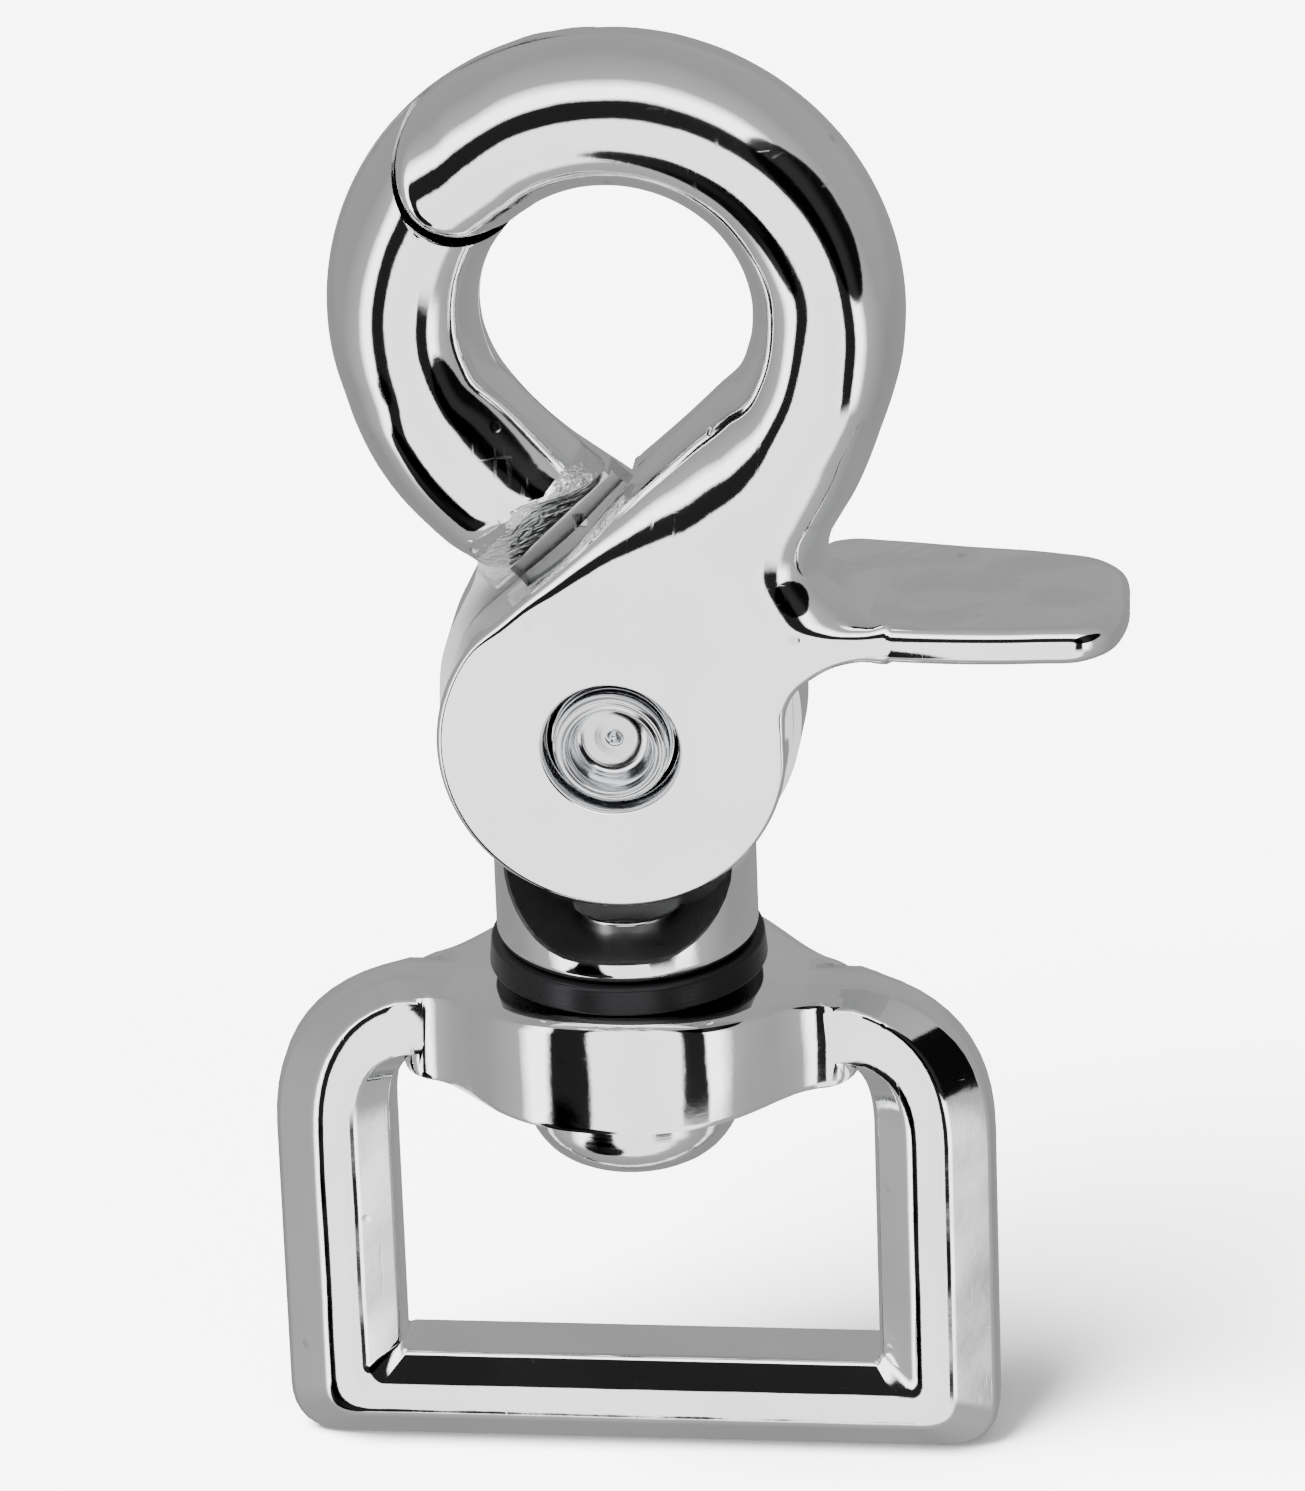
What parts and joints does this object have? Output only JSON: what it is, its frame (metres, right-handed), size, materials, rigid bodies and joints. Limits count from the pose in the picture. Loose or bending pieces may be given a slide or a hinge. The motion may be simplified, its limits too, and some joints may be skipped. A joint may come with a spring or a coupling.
{
  "type": "swivel eye scissor snap hook",
  "caption": "Die-cast scissor snap hook: two jaws crossed on a rivet, a thumb lever that opens the ring, and a swivelling square eye for a strap.",
  "frame": {"origin": "load seat of the hook: the top inside of its ring, on the swivel axis", "axes": "+Z along the swivel axis from the strap eye to the hook, +X towards the thumb lever, +Y out of the back, parallel to the pivot"},
  "size_m": [0.0468, 0.0174, 0.0823],
  "materials": {
    "plated_cast": "bright nickel plate on a polished zinc casting",
    "plated_steel": "bright nickel plate on turned steel",
    "dark_steel": "blackened, lightly oiled",
    "rivet_steel": "plated, satin where the rim is rolled",
    "spring_steel": "drawn wire"
  },
  "bodies": {
    "fixed_jaw": {"fixed_jaw": "plated_cast", "swivel_stud": "plated_steel", "swivel_washer": "dark_steel", "pivot_rivet": "rivet_steel", "torsion_spring": "spring_steel"},
    "moving_jaw": {"moving_jaw": "plated_cast"},
    "strap_eye": {"strap_eye": "plated_cast"}
  },
  "joints": [
    {"name": "jaw_pivot", "type": "hinge", "parent": "fixed_jaw", "child": "moving_jaw", "pos_m": [0, 0, -0.0307], "axis": [0, 1, 0], "range_deg": [0, 40], "stiffness_Nm_per_rad": 0.18, "springref_deg": -34.38, "deforming": ["torsion_spring"]},
    {"name": "eye_swivel", "type": "hinge", "parent": "fixed_jaw", "child": "strap_eye", "pos_m": [0, 0, -0.0485], "axis": [0, 0, 1], "continuous": true}
  ]
}
